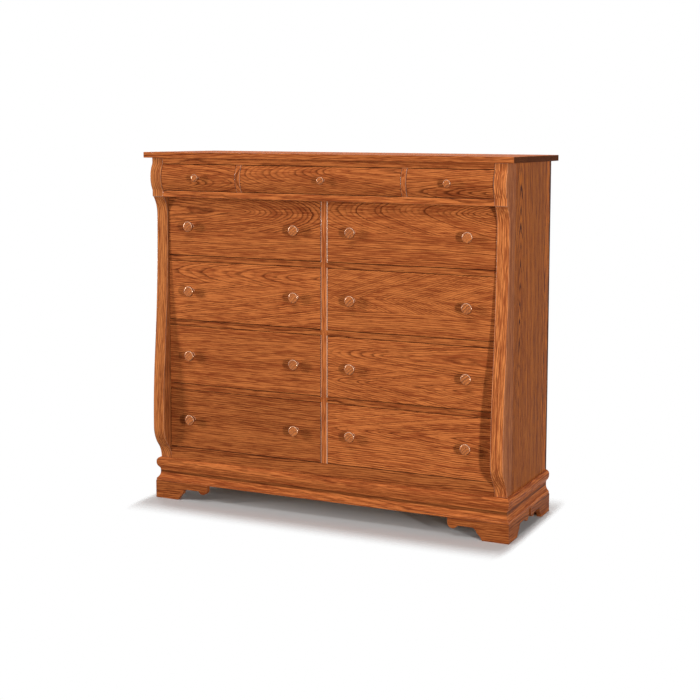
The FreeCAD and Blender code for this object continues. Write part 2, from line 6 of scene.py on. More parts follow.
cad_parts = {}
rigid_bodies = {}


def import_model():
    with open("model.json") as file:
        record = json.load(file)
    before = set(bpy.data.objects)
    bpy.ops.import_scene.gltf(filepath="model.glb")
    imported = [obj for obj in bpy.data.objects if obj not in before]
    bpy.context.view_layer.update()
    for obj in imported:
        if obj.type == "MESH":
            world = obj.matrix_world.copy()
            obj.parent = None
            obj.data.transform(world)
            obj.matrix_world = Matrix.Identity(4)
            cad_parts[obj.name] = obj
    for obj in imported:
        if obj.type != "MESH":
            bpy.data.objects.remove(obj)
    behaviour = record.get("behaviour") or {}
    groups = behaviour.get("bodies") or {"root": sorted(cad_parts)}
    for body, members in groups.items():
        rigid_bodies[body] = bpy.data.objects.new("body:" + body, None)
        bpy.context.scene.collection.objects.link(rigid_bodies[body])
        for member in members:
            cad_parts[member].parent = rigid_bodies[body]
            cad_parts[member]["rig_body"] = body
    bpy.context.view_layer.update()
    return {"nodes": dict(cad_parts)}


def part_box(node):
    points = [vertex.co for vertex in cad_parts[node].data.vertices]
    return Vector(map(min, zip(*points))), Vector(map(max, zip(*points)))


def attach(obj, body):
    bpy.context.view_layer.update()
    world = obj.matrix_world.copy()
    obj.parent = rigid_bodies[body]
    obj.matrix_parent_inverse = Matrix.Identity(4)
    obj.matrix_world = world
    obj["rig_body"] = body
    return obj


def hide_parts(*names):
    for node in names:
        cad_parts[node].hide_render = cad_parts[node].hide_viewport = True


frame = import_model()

# Double chest of drawers in stained oak. Metres, +X right, +Y back, +Z up, as in the CAD frame.


# Shader maths: a Field is a value in a node tree that can be added, scaled and raised like a number.
class Field:
    def __init__(self, nodes, socket):
        self.nodes = nodes
        self.socket = socket

    def __add__(self, other):
        return self.nodes.math("ADD", self, other)

    def __radd__(self, other):
        return self.nodes.math("ADD", other, self)

    def __sub__(self, other):
        return self.nodes.math("SUBTRACT", self, other)

    def __rsub__(self, other):
        return self.nodes.math("SUBTRACT", other, self)

    def __mul__(self, other):
        return self.nodes.math("MULTIPLY", self, other)

    def __rmul__(self, other):
        return self.nodes.math("MULTIPLY", other, self)

    def __truediv__(self, other):
        return self.nodes.math("DIVIDE", self, other)

    def __rtruediv__(self, other):
        return self.nodes.math("DIVIDE", other, self)

    def __pow__(self, other):
        return self.nodes.math("POWER", self, other)

    def __rpow__(self, other):
        return self.nodes.math("POWER", other, self)


class Nodes:
    def __init__(self, owner):
        owner.use_nodes = True
        self.tree = owner.node_tree

    def node(self, kind, values=None, settings=None, output=0):
        # Adds a node of any type, sets or links its inputs by name or number, and returns one output.
        fresh = self.tree.nodes.new(kind)
        for key, value in (settings or {}).items():
            setattr(fresh, key, value)
        for key, value in (values or {}).items():
            self.feed(fresh.inputs[key], value)
        return Field(self, fresh.outputs[output])

    def feed(self, socket, value):
        if isinstance(value, Field):
            self.tree.links.new(value.socket, socket)
        else:
            socket.default_value = value

    def math(self, operation, *values):
        return self.node("ShaderNodeMath", dict(enumerate(values)), {"operation": operation})

    def vector(self, x, y, z):
        return self.node("ShaderNodeCombineXYZ", {"X": x, "Y": y, "Z": z})

    def split(self, vector):
        parts = self.node("ShaderNodeSeparateXYZ", {"Vector": vector}).socket.node.outputs
        return [Field(self, part) for part in parts]

    def attribute(self, name, output):
        return self.node("ShaderNodeAttribute", settings={"attribute_name": name}, output=output)

    def noise(self, vector, detail=2.0, rough=0.5):
        values = {"Vector": vector, "Scale": 1.0, "Detail": detail, "Roughness": rough}
        return self.node("ShaderNodeTexNoise", values)

    def dice(self, vector):
        # An even random value, the same wherever the vector is the same.
        return self.node("ShaderNodeTexWhiteNoise", {"Vector": vector}, {"noise_dimensions": "3D"})

    def smooth(self, value, low, high):
        return self.node("ShaderNodeMapRange", {"Value": value, "From Min": low, "From Max": high},
                         {"interpolation_type": "SMOOTHSTEP"})

    def blend(self, factor, first, second):
        return self.node("ShaderNodeMix", {0: factor, 6: first, 7: second}, {"data_type": "RGBA"}, 2)

    def finish(self, values, height, distance):
        # Feeds the shader's own sockets, fixed values and fields alike, and bumps the surface.
        bump = self.node("ShaderNodeBump", {"Height": height, "Distance": distance, "Strength": 1.0})
        for key, value in dict(values, Normal=bump).items():
            self.feed(self.tree.nodes["Principled BSDF"].inputs[key], value)


def linear(red, green, blue):
    # A colour as read off a screen, 0 to 255, turned into the shader's linear values.
    def channel(value):
        share = value / 255
        return share / 12.92 if share <= 0.04045 else ((share + 0.055) / 1.055) ** 2.4
    return (channel(red), channel(green), channel(blue), 1.0)


# Woods
# A board is cut from a log whose rings lie round a heart. The log tapers and the board leans in it: beyond
# the place where a face meets the heart the rings show as nested arches, before it and far to its sides as
# streaks. Lengths are in metres, colours as read off a screen.
stainedUser = {
    "light": (203, 117, 61),
    "middle": (146, 71, 35),
    "dark": (84, 34, 15),
    "pore": (62, 26, 10),
    # Dark colour of gathered stain and of painted shade.
    "stainAndShade": (44, 19, 8),
    # Colour of a painted highlight on rounded edges and knob rims.
    "paintedHighlight": (226, 190, 164),
    "ringWidth": 0.0076,
    "ringWaver": 0.6,  # how far the fibre pushes a ring, in ring widths
    "ringRise": (0.0, 0.10),  # where in a ring the dark wood sets in
    "ringFall": (0.14, 0.60),  # and where it fades again
    "ringEven": 0.22,  # the least strength of a year's ring
    "ringStrength": 0.85,
    "yearPace": 0.6,
    "sway": (0.24, 0.010),  # length and size of the slow bends
    "drift": (0.40, 0.024),
    "wobble": (0.06, 0.025, 0.007),  # length, width and size
    "fibre": (0.075, 0.0027),  # length and width
    "fibreDetail": (4.0, 0.62),
    "streak": (0.41, 0.58),  # the fibre goes from the middle to the light colour between these
    "streakYears": 0.2,  # how much of a streak comes from the years
    "poreSize": (0.038, 0.0022),
    "poreDetail": (3.0, 0.6),
    "poreCut": (0.52, 0.68),
    "poreEven": 0.30,  # how much of a pore shows outside the dark wood
    "poreStrength": 0.60,
    "cloud": (0.36, 0.07, 0.14),
    "roughness": 0.34,
    "roughSpread": 0.12,
    "ior": 1.06,
    "gloss": (1.0, 1.0, 1.0, 1.0),
    "edgeCoat": 0.8,
    "coatRoughness": 0.16,
    "coatIor": 1.45,
    "bump": 0.00012,
    "sunk": (0.8, 0.2),  # how deep pores and dark wood lie
}
# The sides took the stain a little warmer, the posts a little pinker, and the top is less polished.
sideUser = dict(stainedUser, light=(202, 113, 38), middle=(146, 70, 20), dark=(80, 31, 8))
topUser = dict(stainedUser, roughness=0.45, ior=1.04, edgeCoat=0.3)
postUser = dict(stainedUser, light=(203, 123, 67), middle=(146, 76, 40))
turnedUser = dict(stainedUser, light=(204, 112, 44), middle=(150, 72, 24), dark=(80, 33, 11),
                  ringWidth=0.0100, ringStrength=0.9, roughness=0.12, ior=1.75, gloss=(1.0, 0.66, 0.42, 1.0),
                  bump=0.00003)
paleUser = dict(stainedUser, light=(214, 184, 138), middle=(202, 168, 120), dark=(172, 134, 88),
                pore=(150, 112, 72), stainAndShade=(150, 114, 72), ringStrength=0.45, poreStrength=0.12,
                roughness=0.55, edgeCoat=0.0)
backUser = dict(paleUser, light=(190, 140, 92), middle=(176, 122, 76), dark=(140, 92, 54), pore=(118, 76, 44),
                stainAndShade=(112, 74, 44), ringStrength=0.5)
finishes = {
    "stained_oak": stainedUser,
    "side_oak": sideUser,
    "top_oak": topUser,
    "post_oak": postUser,
    "turned_oak": turnedUser,
    "pale_wood": paleUser,
    "back_board": backUser,
}
axisNames = "XYZ"
seedShift = 3.7  # metres along the log from one seed to the next
lanes = {"sway": 0.5, "year": 2.5, "drift": 7.5, "years": 11.5}  # keep one noise apart from the next
woods = {}


def wood(slot, along, across):
    # One material for each finish and each way that the grain can run. What differs from board to board
    # comes from the piece: "heart" is where its face meets the heart, "log" holds how fast the log narrows,
    # how far the board leans in it and how fast the fibre changes across, "board" the seed, the tone and the
    # strength of the figure, and "edge" how far a face is polished, darkened by gathered stain and by painted
    # shade, and lightened by a painted highlight.
    key = slot + "_" + along + across
    if key in woods:
        return woods[key]
    user = finishes[slot]
    woods[key] = bpy.data.materials.new(key)
    nodes = Nodes(woods[key])
    place = dict(zip(axisNames, nodes.split(nodes.node("ShaderNodeTexCoord", output=3))))
    heart = dict(zip(axisNames, nodes.split(nodes.attribute("heart", 1))))
    depth = next(name for name in axisNames if name not in (along, across))
    seed, tone, figure = nodes.split(nodes.attribute("board", 1))
    taper, lean, change = nodes.split(nodes.attribute("log", 1))
    polish, stainAndShade, paintedHighlight = nodes.split(nodes.attribute("edge", 1))
    u = place[along] + seed * seedShift
    v = place[across]
    w = place[depth]
    layer = v * change

    swayLength, swaySize = user["sway"]
    sway = nodes.noise(nodes.vector(u / swayLength, seed, lanes["sway"]), detail=1.0)
    driftLength, driftSize = user["drift"]
    drift = nodes.noise(nodes.vector(u / driftLength, seed, lanes["drift"]), detail=1.0)
    wobbleLength, wobbleWidth, wobbleSize = user["wobble"]
    wobble = nodes.noise(nodes.vector(u / wobbleLength, layer / wobbleWidth, w / wobbleWidth), detail=2.0)
    fibreLength, fibreWidth = user["fibre"]
    threads = nodes.vector(u / fibreLength, layer / fibreWidth, w / fibreWidth)
    fibre = nodes.noise(threads, *user["fibreDetail"])
    slope = (place[along] - heart[along]) * taper
    offset = v - heart[across] + (drift - 0.5) * driftSize
    deep = w - heart[depth] + slope * lean
    radius = (offset * offset + deep * deep) ** 0.5
    waves = (sway - 0.5) * swaySize + (wobble - 0.5) * wobbleSize
    rings = (radius + slope + waves) / user["ringWidth"] + (fibre - 0.5) * user["ringWaver"]
    phase = nodes.math("FRACT", rings)
    early = nodes.smooth(phase, *user["ringRise"]) * (1.0 - nodes.smooth(phase, *user["ringFall"]))
    year = nodes.dice(nodes.vector(nodes.math("FLOOR", rings), seed, lanes["year"]))
    years = nodes.noise(nodes.vector(rings * user["yearPace"], seed, lanes["years"]), detail=1.0)
    even = user["ringEven"]
    mark = early * (even + (1.0 - even) * year) * figure * user["ringStrength"]

    poreLength, poreWidth = user["poreSize"]
    holes = nodes.vector(u / poreLength, layer / poreWidth, w / poreWidth)
    pores = nodes.noise(holes, *user["poreDetail"])
    even = user["poreEven"]
    pore = nodes.smooth(pores, *user["poreCut"]) * (even + (1.0 - even) * early)
    cloudLength, cloudWidth, cloudSize = user["cloud"]
    cloud = nodes.noise(nodes.vector(u / cloudLength, v / cloudWidth, w / cloudWidth), detail=2.0)
    share = user["streakYears"]
    streak = nodes.smooth(fibre * (1.0 - share) + years * share, *user["streak"])
    plain = nodes.blend(streak, linear(*user["middle"]), linear(*user["light"]))
    ringed = nodes.blend(mark, plain, linear(*user["dark"]))
    pored = nodes.blend(pore * user["poreStrength"], ringed, linear(*user["pore"]))
    # Darkening: stain gathered on eased edges, and painted shade along the gaps, on flanks, in grooves and
    # round knob rims.
    stainedAndShaded = nodes.blend(stainAndShade, pored, linear(*user["stainAndShade"]))
    # A painted highlight on rounded edges and on the upper rim of a knob.
    eased = nodes.blend(paintedHighlight, stainedAndShaded, linear(*user["paintedHighlight"]))
    shade = nodes.node("ShaderNodeHueSaturation", {"Color": eased, "Value": tone + (cloud - 0.5) * cloudSize})
    spread = user["roughSpread"]
    poreDepth, earlyDepth = user["sunk"]
    nodes.finish({
        "Base Color": shade,
        "Roughness": user["roughness"] + (fibre - 0.5) * spread + pore * spread,
        "IOR": user["ior"],
        "Specular Tint": user["gloss"],
        "Coat Weight": polish * user["edgeCoat"],
        "Coat Roughness": user["coatRoughness"],
        "Coat IOR": user["coatIor"],
    }, 1.0 - pore * poreDepth - early * earlyDepth, user["bump"])
    return woods[key]


print("woods set up")


# Joinery: boards are lifted out of the CAD nodes, eased and given their grain.
joineryUser = {
    "merge": 0.00001,
    "digits": 6,  # places on one spot agree to so many digits
    "flatAngle": 0.4,  # triangles closer than this many degrees are one face
    "sharpAngle": 35.0,  # edges sharper than this are eased
    "smoothAngle": 32.0,
    "segments": 2,
    "seedStep": 1.7,
    "scatter": (12.9898, 43758.5453),
}
# What a stave has where its board doesn't say otherwise. Its share of the width counts against the others'.
# The heart lies so many widths and depths from the board's low sides, and the face meets it at the start, a
# share of the length.
staveUser = {
    "share": 1.0,
    "heart": (1.6, 3.2),
    "depth": -3.0,
    "start": 0.5,
    "taper": (-0.02, 0.02),
    "lean": 0.8,
    "tone": 1.0,
    "figure": 1.0,
    "heartStep": 0.37,
    "taperStep": 0.53,
    "seedStep": 0.61,
}
# How far stain and painted shade darken a face, and how far a painted highlight lightens it, where a board
# doesn't say otherwise. A groove is a range of heights, and a rim says how squarely a knob's faces look
# forward behind its rim and on it.
stainUser = {
    "stainAndShade": 0.15,
    "paintedHighlight": 0.0,
    "flank": 0.0,
    "flankFacing": 0.9,
    "groove": (0.0, 0.0),
    "paintedRecessShade": 0.6,
    "rim": (-2.0, -2.0),
    "rimUpper": -0.1,
    "paintedRimShade": 0.3,
    "change": 1.0,
}


def pick(seed, low, high):
    # A repeatable value between two limits, scattered from a number.
    turns, spread = joineryUser["scatter"]
    share = math.sin(seed * turns) * spread
    return low + (share - math.floor(share)) * (high - low)


def openEdit(piece, mode="FACE"):
    bpy.ops.object.select_all(action="DESELECT")
    piece.select_set(True)
    bpy.context.view_layer.objects.active = piece
    bpy.ops.object.mode_set(mode="EDIT")
    bpy.ops.mesh.select_mode(type=mode)


def closeEdit():
    bpy.ops.object.mode_set(mode="OBJECT")


def boardRuns(mesh):
    # A node's faces come board by board, so a board ends where each edge has met its partner.
    unmet = set()
    runs = [[]]
    for polygon in mesh.polygons:
        spots = [mesh.vertices[i].co for i in polygon.vertices]
        corners = [tuple(round(value, joineryUser["digits"]) for value in spot) for spot in spots]
        for edge in zip(corners, corners[1:] + corners[:1]):
            if edge[::-1] in unmet:
                unmet.remove(edge[::-1])
            else:
                unmet.add(edge)
        runs[-1].append(polygon.index)
        if not unmet:
            runs.append([])
    return runs[:-1]


def lift(nodeName, run):
    # One board of a node as a merged mesh of its own.
    mesh = frame["nodes"][nodeName].data.copy()
    mesh.materials.clear()
    mesh.materials.append(None)
    mesh.materials.append(None)
    mesh.polygons.foreach_set("material_index", [0] * len(mesh.polygons))
    piece = bpy.data.objects.new(nodeName + "_board", mesh)
    bpy.context.collection.objects.link(piece)
    kept = set(run)
    for polygon in mesh.polygons:
        polygon.select = polygon.index not in kept
    for edge in mesh.edges:
        edge.select = False
    openEdit(piece)
    if len(kept) < len(mesh.polygons):
        bpy.ops.mesh.delete(type="FACE")
    bpy.ops.mesh.select_all(action="SELECT")
    bpy.ops.mesh.remove_doubles(threshold=joineryUser["merge"])
    closeEdit()
    bpy.ops.mesh.customdata_custom_splitnormals_clear()
    return piece


def extent(piece):
    spots = [vertex.co for vertex in piece.data.vertices]
    low = Vector([min(spot[i] for spot in spots) for i in range(3)])
    high = Vector([max(spot[i] for spot in spots) for i in range(3)])
    return low, high


def rounded(width, segments):
    # Bevels the selected edges. The new faces take the second material slot, which grain() reads and clears.
    bpy.ops.mesh.bevel(offset=width, segments=segments, profile=0.5, clamp_overlap=True, material=1)


def score(cuts):
    # Merges the triangles of the mesh in edit mode into whole faces, and cuts it at the given planes.
    bpy.ops.mesh.select_all(action="SELECT")
    bpy.ops.mesh.dissolve_limited(angle_limit=math.radians(joineryUser["flatAngle"]))
    for spot, facing in cuts:
        bpy.ops.mesh.select_all(action="SELECT")
        bpy.ops.mesh.bisect(plane_co=spot, plane_no=facing)


def ease(piece, width, cuts):
    # Scores a board at its glue joints and rounds every sharp edge of it a little.
    openEdit(piece)
    score(cuts)
    bpy.ops.mesh.select_all(action="DESELECT")
    bpy.ops.mesh.select_mode(type="EDGE")
    bpy.ops.mesh.edges_select_sharp(sharpness=math.radians(joineryUser["sharpAngle"]))
    rounded(width, joineryUser["segments"])
    closeEdit()


def sides(piece, along=None):
    # A board's long, wide and deep axis, as numbers.
    low, high = extent(piece)
    size = high - low
    order = sorted(range(3), key=lambda i: -size[i])
    if along:
        order.remove(axisNames.index(along))
        order.insert(0, axisNames.index(along))
    return order


def isFlank(polygon):
    return abs(polygon.normal.x) > stainUser["flankFacing"]


def edgeOf(polygon, user):
    # How far a face is polished, darkened and lightened. Eased edges are darkened by gathered stain and,
    # where a board asks for much, by painted shade along the gaps; some take a painted highlight. Flanks that
    # face left or right, a groove and the faces behind a knob's rim take painted shade. A knob's rim takes a
    # painted highlight above and painted shade below.
    eased = float(polygon.material_index)
    facing = -polygon.normal.y
    grooveLow, grooveHigh = user["groove"]
    rimBack, rimFront = user["rim"]
    if grooveLow < polygon.center.z < grooveHigh or facing < rimBack:
        return (0.0, user["paintedRecessShade"], 0.0)
    if facing < rimFront:
        upper = polygon.normal.z > user["rimUpper"]
        return (0.0, 0.0, user["paintedHighlight"]) if upper else (0.0, user["paintedRimShade"], 0.0)
    if user["flank"] and isFlank(polygon):
        return (0.0, user["flank"], 0.0)
    return (eased * (1.0 - user["stainAndShade"]), eased * user["stainAndShade"], eased * user["paintedHighlight"])


def grain(piece, slot, staves, ownUser):
    # Gives a board its wood: the grain runs along its longest side, and staves are glued across the next one.
    # On bowed fronts the fibre changes slowly into the wood, so that it runs on over the bow.
    user = dict(stainUser, **ownUser)
    low, high = extent(piece)
    size = high - low
    long, wide, deep = sides(piece, user.get("along"))
    mesh = piece.data
    entries = []
    reach = 0.0
    whole = sum(stave["share"] for stave in staves)
    for stave in staves:
        heart = [0.0, 0.0, 0.0]
        heart[long] = low[long] + size[long] * stave["start"]
        heart[wide] = low[wide] + size[wide] * (reach + stave["share"] * stave["heart"]) / whole
        heart[deep] = low[deep] + size[deep] * stave["depth"]
        reach += stave["share"]
        top = low[wide] + size[wide] * reach / whole
        entries.append((top, heart, (stave["seed"], stave["tone"], stave["figure"]),
                        (stave["taper"], stave["lean"])))
    hearts, boards, logs, edges = [], [], [], []
    for polygon in mesh.polygons:
        height = polygon.center[wide]
        found = next((entry for entry in entries if height < entry[0]), entries[-1])
        hearts += found[1]
        boards += found[2]
        logs += found[3]
        logs.append(stainUser["change"] if isFlank(polygon) else user["change"])
        edges += edgeOf(polygon, user)
    mesh.attributes.new("heart", "FLOAT_VECTOR", "FACE").data.foreach_set("vector", hearts)
    mesh.attributes.new("board", "FLOAT_VECTOR", "FACE").data.foreach_set("vector", boards)
    mesh.attributes.new("log", "FLOAT_VECTOR", "FACE").data.foreach_set("vector", logs)
    mesh.attributes.new("edge", "FLOAT_VECTOR", "FACE").data.foreach_set("vector", edges)
    mesh.polygons.foreach_set("material_index", [0] * len(mesh.polygons))
    mesh.materials.clear()
    mesh.materials.append(wood(slot, axisNames[long], axisNames[wide]))


def stavesOf(user, seed):
    # A board's staves from its user values, with plain straight grain where nothing else is asked for.
    filled = []
    for number, stave in enumerate(user.get("staves", [{}])):
        own = dict(staveUser)
        own["heart"] = pick(seed + number * own["heartStep"], *own["heart"])
        own["taper"] = pick(seed + number * own["taperStep"], *own["taper"])
        own["seed"] = seed + number * own["seedStep"]
        own.update(user.get("all", {}))
        own.update(stave)
        own["tone"] = own["tone"] * user.get("tone", 1.0)
        own["figure"] = own["figure"] * user.get("figure", 1.0)
        filled.append(own)
    return filled


def joints(piece, staves, along=None):
    # The planes where a board's staves meet.
    low, high = extent(piece)
    wide = sides(piece, along)[1]
    facing = [0.0, 0.0, 0.0]
    facing[wide] = 1.0
    whole = sum(stave["share"] for stave in staves)
    reach = 0.0
    planes = []
    for stave in staves[:-1]:
        reach += stave["share"]
        spot = [0.0, 0.0, 0.0]
        spot[wide] = low[wide] + (high[wide] - low[wide]) * reach / whole
        planes.append((tuple(spot), tuple(facing)))
    return planes


def smooth(piece, angle, flat=True):
    # Soft shading over eased edges and curves, with flat faces left flat.
    bpy.ops.object.select_all(action="DESELECT")
    piece.select_set(True)
    bpy.context.view_layer.objects.active = piece
    bpy.ops.object.shade_smooth_by_angle(angle=math.radians(angle))
    if flat:
        weighted = piece.modifiers.new("flat_faces", "WEIGHTED_NORMAL")
        weighted.keep_sharp = True
        bpy.ops.object.modifier_apply(modifier="flat_faces")


def joined(boards, name):
    bpy.ops.object.select_all(action="DESELECT")
    for board in boards:
        board.select_set(True)
    bpy.context.view_layer.objects.active = boards[0]
    if len(boards) > 1:
        bpy.ops.object.join()
    boards[0].name = name
    boards[0].data.name = name
    return boards[0]


def settle(piece, nodeName):
    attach(piece, frame["nodes"][nodeName]["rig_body"])
    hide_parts(nodeName)


def joinery(nodeName, slot, user):
    # Stands for a node: every board of it eased and given its own grain.
    boards = []
    for number, run in enumerate(boardRuns(frame["nodes"][nodeName].data)):
        board = lift(nodeName, run)
        staves = stavesOf(user, user["seed"] + number * joineryUser["seedStep"])
        ease(board, user["ease"], joints(board, staves, user.get("along")))
        grain(board, user.get("finish", slot), staves, user)
        smooth(board, joineryUser["smoothAngle"])
        boards.append(board)
    settle(joined(boards, nodeName + "_wood"), nodeName)


# Case. The staves of the sides are listed from the front to the back, where a light strip and a dark one
# close them; the dark one is painted shade along the rear edge.
topStaves = [
    {"heart": 0.6, "depth": -5.0},
    {"tone": 0.95},
    {"tone": 1.03, "heart": 0.5, "depth": 0.5, "taper": 0.09},
    {"tone": 0.98},
]
sideStaves = [
    {"share": 0.42, "heart": 0.35, "depth": 0.5, "start": 0.4, "taper": 0.06},
    {"share": 0.37, "tone": 0.96},
    {"share": 0.08, "tone": 1.03},
    {"share": 0.09, "tone": 1.42},
    {"share": 0.04, "tone": 0.28},
]
postStaves = [{"heart": -0.7, "depth": 4.5}]
caseUser = {
    # The top's end faces are darkened by painted shade.
    "top_board": {
        "ease": 0.0012, "finish": "top_oak", "tone": 0.98, "flank": 0.8, "seed": 3.1, "staves": topStaves},
    # The sides' lower tone is painted shade on faces turned away from the front light.
    "side_panel_left": {
        "ease": 0.0008, "seed": 5.2, "finish": "side_oak", "tone": 0.92, "figure": 2.1, "staves": sideStaves},
    "side_panel_right": {
        "ease": 0.0008, "seed": 8.6, "finish": "side_oak", "tone": 0.92, "figure": 2.1, "staves": sideStaves},
    # Posts: their side faces take painted shade, and their eased edges a faint painted highlight.
    "post_left": {
        "ease": 0.0022, "seed": 11.4, "finish": "post_oak", "tone": 1.02, "figure": 0.7, "paintedHighlight": 0.12,
        "flank": 0.34, "change": 0.3, "staves": postStaves},
    # The right post's higher tone paints its front brighter, as lit.
    "post_right": {
        "ease": 0.0022, "seed": 14.9, "finish": "post_oak", "tone": 1.29, "figure": 0.7, "paintedHighlight": 0.12,
        "flank": 0.34, "change": 0.3, "staves": postStaves},
    # The rails' eased edges are darkened strongly: gathered stain, and painted shade along the gaps.
    "top_rail": {"ease": 0.0008, "stainAndShade": 0.7, "seed": 17.3},
    "frieze_rail": {"ease": 0.0012, "seed": 19.8, "tone": 1.03, "figure": 0.7},
    "drawer_rails": {"ease": 0.0008, "stainAndShade": 0.7, "seed": 21.5, "tone": 0.88},
    "bottom_rail": {"ease": 0.0008, "stainAndShade": 0.7, "seed": 32.2, "tone": 0.80},
    # The frieze stiles' eased edges take a painted highlight.
    "frieze_stiles": {"ease": 0.0016, "paintedHighlight": 0.25, "seed": 34.7},
    # The moulding's groove is darkened by painted shade.
    "base_moulding": {"ease": 0.0006, "seed": 37.1, "tone": 1.03, "figure": 0.7, "groove": (0.1015, 0.1125)},
    # The feet's low tone is painted shade.
    "foot_front_left": {"ease": 0.0010, "seed": 43.9, "tone": 0.70},
    "foot_front_right": {"ease": 0.0010, "seed": 48.3, "tone": 0.70},
    "foot_rear_left": {"ease": 0.0010, "seed": 52.6, "tone": 0.70},
    "foot_rear_right": {"ease": 0.0010, "seed": 57.4, "tone": 0.70},
}
hiddenUser = {
    "back_panel": {"ease": 0.0004, "seed": 61.2, "along": "Z"},
    "partitions": {"ease": 0.0006, "seed": 66.5},
    "drawer_runners": {"ease": 0.0006, "seed": 70.1},
}
for nodeName, user in caseUser.items():
    joinery(nodeName, "stained_oak", user)
for nodeName, user in hiddenUser.items():
    joinery(nodeName, "back_board" if nodeName == "back_panel" else "pale_wood", user)
print("case boards eased")

# Centre stile: its front edges are rounded only along the drawer openings and stay square at the rails.
stileUser = {
    "round": 0.003,
    "segments": 3,
    "smooth": 40.0,
    "tiny": 0.001,  # edges this close to the front lie in it
    "clear": 0.01,  # a rail's edge this close to the stile's end isn't cut, and a shorter edge isn't rounded
    "seed": 31.4,
    "tone": 1.06,
    # a painted highlight on the rounded edges
    "paintedHighlight": 0.55,
}


def centreStile(user):
    rails = frame["nodes"]["drawer_rails"].data
    heights = sorted({round(vertex.co.z, 5) for vertex in rails.vertices})
    low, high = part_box("centre_stile")
    cuts = [z for z in heights if low.z + user["clear"] < z < high.z - user["clear"]]
    stile = lift("centre_stile", boardRuns(frame["nodes"]["centre_stile"].data)[0])
    openEdit(stile)
    score([((0.0, 0.0, z), (0.0, 0.0, 1.0)) for z in cuts])
    closeEdit()
    bounds = [low.z] + cuts + [high.z]
    openings = list(zip(bounds[0::2], bounds[1::2]))
    mesh = stile.data
    for polygon in mesh.polygons:
        polygon.select = False
    for edge in mesh.edges:
        first, second = (mesh.vertices[i].co for i in edge.vertices)
        height = (first.z + second.z) / 2
        upright = abs(first.z - second.z) > user["clear"]
        front = max(first.y, second.y) < low.y + user["tiny"]
        edge.select = upright and front and any(a < height < b for a, b in openings)
    openEdit(stile, "EDGE")
    rounded(user["round"], user["segments"])
    closeEdit()
    grain(stile, "stained_oak", stavesOf(user, user["seed"]), user)
    smooth(stile, user["smooth"])
    settle(joined([stile], "centre_stile_wood"), "centre_stile")


centreStile(stileUser)
print("centre stile done")

# Drawers. Each front is glued from staves, the lowest first. A stave with a taper shows arches from its
# start on to the right, with their tips to the right. A negative taper turns them to the left.
# The fronts' eased edges are darkened strongly: gathered stain, and painted shade along the gaps.
allFronts = {"ease": 0.0014, "stainAndShade": 0.8, "all": {"depth": 0.0}}
boxUser = {"ease": 0.0006, "seedStep": 0.31}
bottomUser = {"ease": 0.0002, "seedStep": 0.77}
# A knob's rim takes a painted highlight above and painted shade below, and the faces behind it painted shade.
knobUser = {
    "seedStep": 0.13,
    "along": "Y",
    "rim": (0.5, 0.88),
    "paintedHighlight": 0.5,
    "smooth": 60.0,
    "staves": [{"heart": 1.6, "depth": -0.8, "taper": 0.0}],
}
frontUser = {
    "frieze_drawer_left": {"seed": 81.3, "tone": 0.94, "staves": [
        {"heart": 0.3, "start": 0.3, "taper": 0.12}]},
    "frieze_drawer_middle": {"seed": 83.9, "tone": 0.94, "staves": [
        {"heart": 0.85, "start": 0.62, "taper": -0.16, "figure": 0.9}]},
    "frieze_drawer_right": {"seed": 86.2, "tone": 0.96, "staves": [
        {"heart": 0.2, "start": 0.8, "taper": -0.09}]},
    "drawer_1_left": {"seed": 91.7, "tone": 0.95, "staves": [
        {"share": 0.45, "figure": 0.9},
        {"share": 0.55, "heart": 0.58, "start": 0.5, "taper": 0.18, "figure": 1.1}]},
    "drawer_1_right": {"seed": 94.3, "tone": 1.0, "staves": [
        {"share": 0.5},
        {"share": 0.5, "heart": 0.75, "start": 0.95, "lean": 0.3, "taper": -0.24}]},
    "drawer_2_left": {"seed": 97.9, "tone": 1.04, "figure": 0.9, "staves": [
        {"share": 0.66, "heart": -0.1, "lean": 0.2, "taper": -0.16},
        {"share": 0.34, "heart": 0.5, "start": 1.3, "lean": 0.4, "taper": -0.10}]},
    "drawer_2_right": {"seed": 101.2, "tone": 1.0, "figure": 0.8, "staves": [
        {"share": 0.35},
        {"share": 0.65, "heart": 0.3, "lean": 0.0, "taper": -0.34}]},
    "drawer_3_left": {"seed": 104.8, "tone": 0.98, "figure": 0.75, "staves": [
        {"share": 0.55}, {"share": 0.45}]},
    "drawer_3_right": {"seed": 107.5, "tone": 1.05, "figure": 0.85, "staves": [
        {"share": 0.5, "heart": 0.6, "lean": 0.1, "taper": -0.18},
        {"share": 0.5, "heart": 0.5, "start": 0.4, "taper": -0.10}]},
    "drawer_4_left": {"seed": 111.6, "tone": 0.84, "figure": 0.75, "staves": [
        {"share": 0.5}, {"share": 0.5}]},
    "drawer_4_right": {"seed": 114.1, "tone": 1.10, "staves": [
        {"share": 0.45},
        {"share": 0.55, "heart": 0.3, "lean": 0.1, "taper": -0.14}]},
}


def drawer(name, user):
    # The bottom of a frieze drawer comes with its box. The lower drawers have two knobs, and a bottom apart.
    seed = user["seed"]
    joinery(name + "_front", "stained_oak", dict(user, **allFronts))
    joinery(name + "_box", "pale_wood", dict(boxUser, seed=seed + boxUser["seedStep"]))
    if name + "_bottom" in frame["nodes"]:
        joinery(name + "_bottom", "pale_wood", dict(bottomUser, seed=seed + bottomUser["seedStep"]))
    knobs = name + ("_knobs" if name + "_knobs" in frame["nodes"] else "_knob")
    turned = []
    for number, run in enumerate(boardRuns(frame["nodes"][knobs].data)):
        knob = lift(knobs, run)
        grain(knob, "turned_oak", stavesOf(knobUser, seed + knobUser["seedStep"] + number), knobUser)
        smooth(knob, knobUser["smooth"], flat=False)
        turned.append(knob)
    settle(joined(turned, knobs + "_wood"), knobs)


for name, user in frontUser.items():
    drawer(name, user)
print("drawers done")


